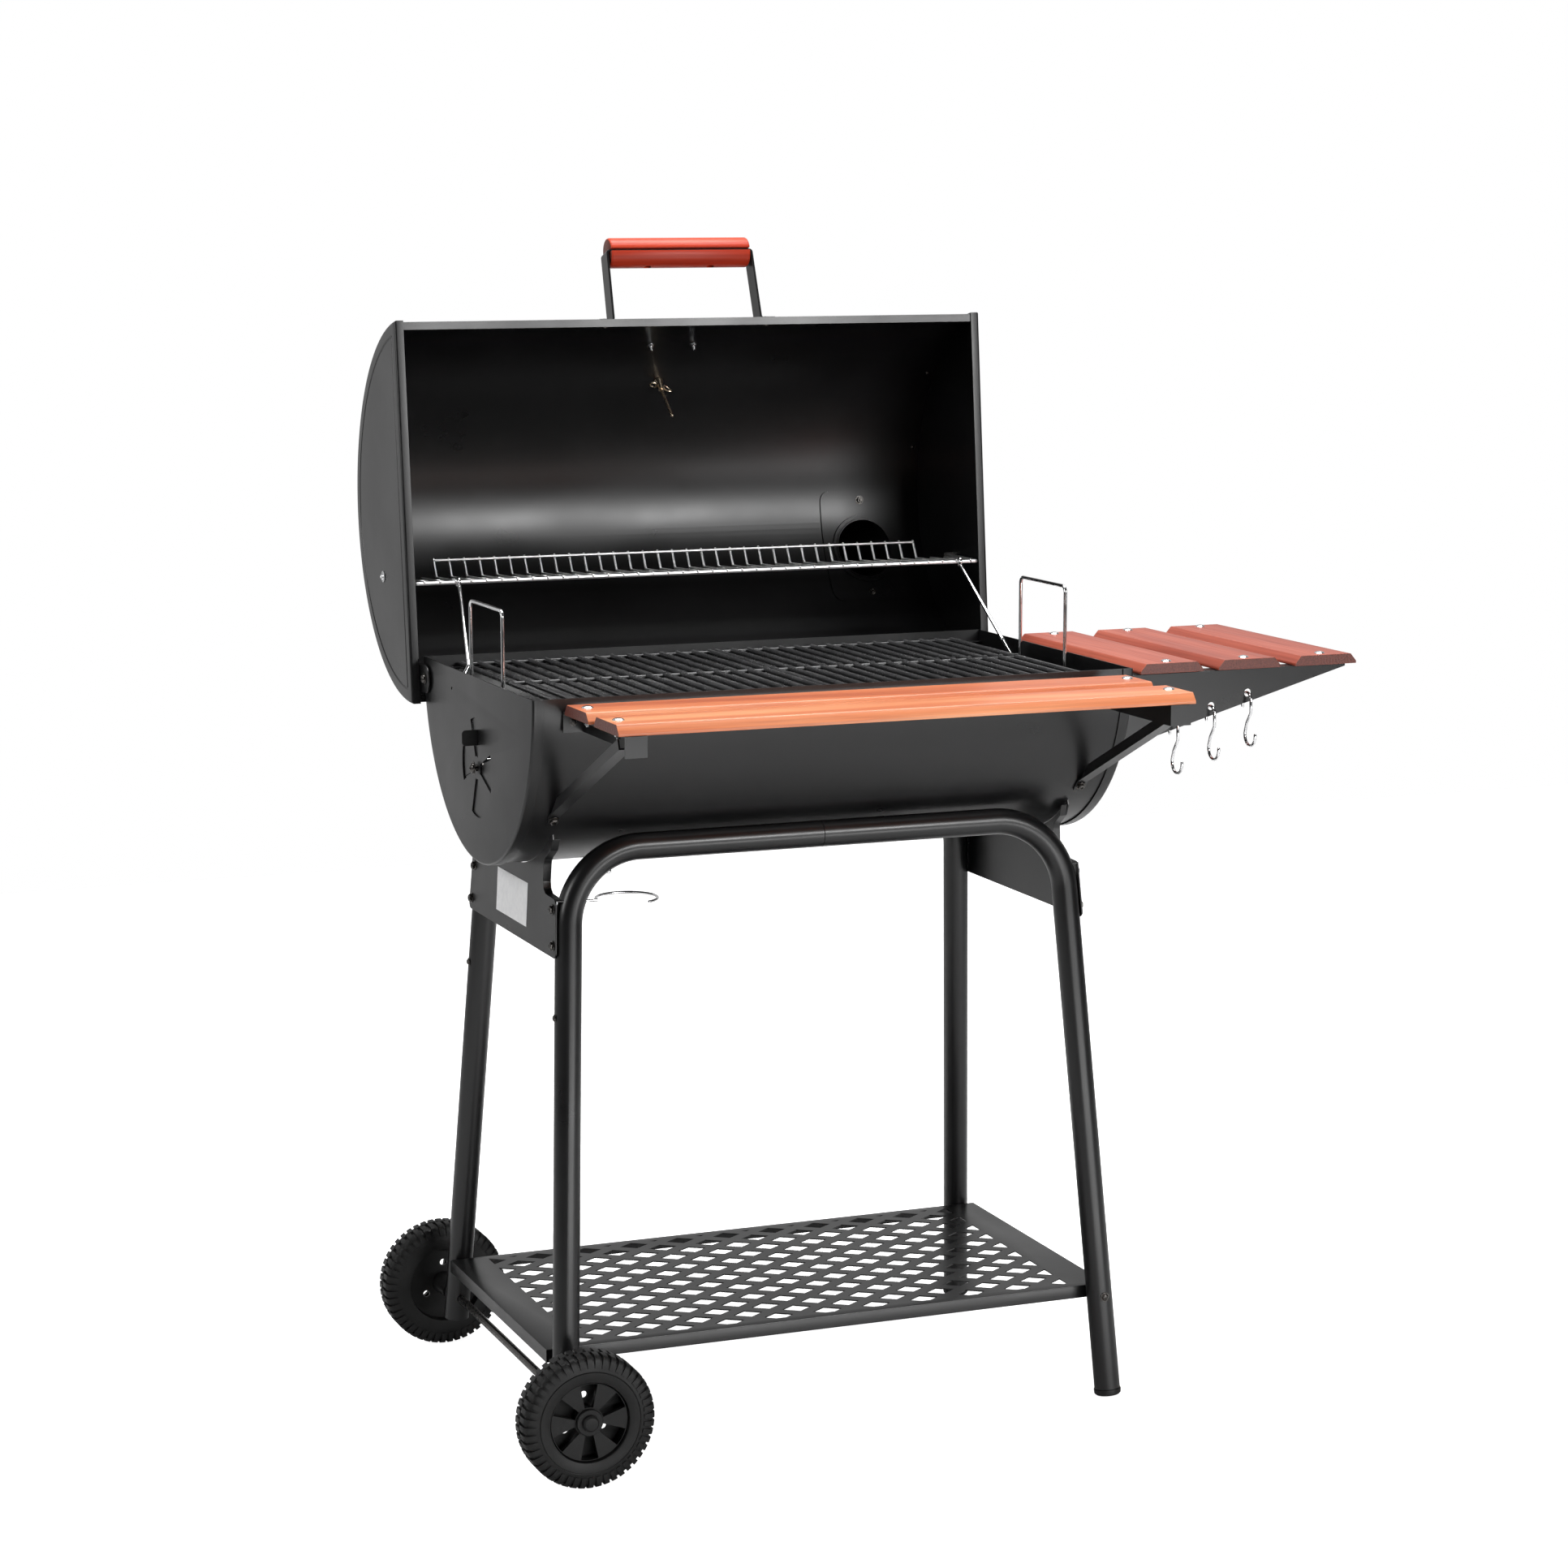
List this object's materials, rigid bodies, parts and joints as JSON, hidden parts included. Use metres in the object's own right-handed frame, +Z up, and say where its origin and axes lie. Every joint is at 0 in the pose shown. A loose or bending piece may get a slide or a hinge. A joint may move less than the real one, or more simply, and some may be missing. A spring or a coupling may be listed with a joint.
{
  "type": "barrel charcoal grill",
  "caption": "Barrel charcoal grill on a wheeled tube frame, with an open hinged lid, warming rack, cooking grates, wooden front and side shelves, chimney and bottom shelf.",
  "frame": {"origin": "on the ground, under the middle of the bounding box", "axes": "+X to the right along the barrel towards the side shelf, +Y to the rear where the lid opens, +Z up"},
  "size_m": [1.1328, 1.0646, 1.4249],
  "materials": {
    "black_paint": "satin heat-resistant black paint",
    "black_enamel": "gloss black porcelain enamel",
    "stained_wood": "red-orange stained softwood",
    "chrome": "polished plated wire",
    "zinc": "zinc-plated fasteners",
    "black_plastic": "moulded black plastic"
  },
  "bodies": {
    "stand": {"firebox_shell": "black_paint", "firebox_end_left": "black_paint", "firebox_end_right": "black_paint", "leg_front_left": "black_paint", "leg_front_right": "black_paint", "leg_rear_left": "black_paint", "leg_rear_right": "black_paint", "leg_plate_left": "black_paint", "leg_plate_right": "black_paint", "bottom_shelf": "black_paint", "shelf_arm_left": "black_paint", "shelf_arm_right": "black_paint", "shelf_brace_left": "black_paint", "shelf_brace_right": "black_paint", "side_plate_front": "black_paint", "side_plate_rear": "black_paint", "front_slat_inner": "stained_wood", "front_slat_outer": "stained_wood", "side_slat_1": "stained_wood", "side_slat_2": "stained_wood", "side_slat_3": "stained_wood", "grease_ring": "chrome", "hinge_pin_left": "zinc", "hinge_pin_right": "zinc", "damper_bolt": "zinc", "wheel_axle": "zinc", "axle_nut_front": "zinc", "axle_nut_rear": "zinc", "foot_plug_front": "black_plastic", "foot_plug_rear": "black_plastic"},
    "lid": {"lid_shell": "black_paint", "lid_end_left": "black_paint", "lid_end_right": "black_paint", "hinge_ear_left": "black_paint", "hinge_ear_right": "black_paint", "handle_strap": "black_paint", "handle_grip_outer": "stained_wood", "handle_grip_inner": "stained_wood", "thermometer": "zinc", "thermometer_nut": "zinc", "name_plate": "zinc", "chimney_base": "black_paint", "chimney_pipe": "black_paint"},
    "rack": {"warming_rack": "chrome", "rack_push_nut_left": "zinc", "rack_push_nut_right": "zinc"},
    "rack_leg_left": {"rack_leg_left": "chrome"},
    "rack_leg_right": {"rack_leg_right": "chrome"},
    "damper": {"air_damper": "black_paint"},
    "chimney_cap": {"chimney_cap": "black_paint"},
    "pan": {"charcoal_pan": "black_enamel", "pan_handle_left": "chrome", "pan_handle_right": "chrome"},
    "grate_left": {"cooking_grate_left": "black_enamel"},
    "grate_right": {"cooking_grate_right": "black_enamel"},
    "wheel_front": {"wheel_front": "black_plastic"},
    "wheel_rear": {"wheel_rear": "black_plastic"},
    "hook_1": {"tool_hook_1": "chrome"},
    "hook_2": {"tool_hook_2": "chrome"},
    "hook_3": {"tool_hook_3": "chrome"}
  },
  "joints": [
    {"name": "lid_hinge", "type": "hinge", "parent": "stand", "child": "lid", "pos_m": [-0.13358, 0.1157, 0.887], "axis": [1, 0, 0], "range_deg": [0, 95.5]},
    {"name": "rack_pivot", "type": "hinge", "parent": "lid", "child": "rack", "pos_m": [-0.13358, 0.2552, 1.002], "axis": [1, 0, 0], "range_deg": [-95.5, 0]},
    {"name": "rack_leg_left_pivot", "type": "hinge", "parent": "stand", "child": "rack_leg_left", "pos_m": [-0.50808, 0.0097, 0.887], "axis": [1, 0, 0], "range_deg": [0, 95.5]},
    {"name": "rack_leg_right_pivot", "type": "hinge", "parent": "stand", "child": "rack_leg_right", "pos_m": [0.24092, 0.0097, 0.887], "axis": [1, 0, 0], "range_deg": [0, 95.5]},
    {"name": "damper_turn", "type": "hinge", "parent": "stand", "child": "damper", "pos_m": [-0.51278, -0.0903, 0.804], "axis": [1, 0, 0], "range_deg": [-18, 18]},
    {"name": "chimney_cap_swing", "type": "hinge", "parent": "lid", "child": "chimney_cap", "pos_m": [0.17402, 0.5208, 0.9414], "axis": [0, 0.9954, -0.0958], "range_deg": [-110, 110]},
    {"name": "pan_lift", "type": "slide", "parent": "stand", "child": "pan", "axis": [0, 0, 1], "range_m": [0, 0.01]},
    {"name": "grate_left_lift", "type": "slide", "parent": "stand", "child": "grate_left", "axis": [0, 0, 1], "range_m": [0, 0.06]},
    {"name": "grate_right_lift", "type": "slide", "parent": "stand", "child": "grate_right", "axis": [0, 0, 1], "range_m": [0, 0.06]},
    {"name": "wheel_front_spin", "type": "hinge", "parent": "stand", "child": "wheel_front", "pos_m": [-0.48582, -0.3873, 0.0806], "axis": [0, 1, 0], "continuous": true},
    {"name": "wheel_rear_spin", "type": "hinge", "parent": "stand", "child": "wheel_rear", "pos_m": [-0.48582, 0.2067, 0.0806], "axis": [0, 1, 0], "continuous": true},
    {"name": "hook_1_swing", "type": "hinge", "parent": "stand", "child": "hook_1", "pos_m": [0.31742, -0.2903, 0.84334], "axis": [0, 1, 0], "range_deg": [-18, 18]},
    {"name": "hook_2_swing", "type": "hinge", "parent": "stand", "child": "hook_2", "pos_m": [0.36772, -0.2903, 0.85759], "axis": [0, 1, 0], "range_deg": [-18, 18]},
    {"name": "hook_3_swing", "type": "hinge", "parent": "stand", "child": "hook_3", "pos_m": [0.41802, -0.2903, 0.87185], "axis": [0, 1, 0], "range_deg": [-18, 18]}
  ],
  "couplings": [
    {"joint": "rack_pivot", "follows": "lid_hinge", "ratio": -1},
    {"joint": "rack_leg_left_pivot", "follows": "lid_hinge", "ratio": 1},
    {"joint": "rack_leg_right_pivot", "follows": "lid_hinge", "ratio": 1}
  ]
}
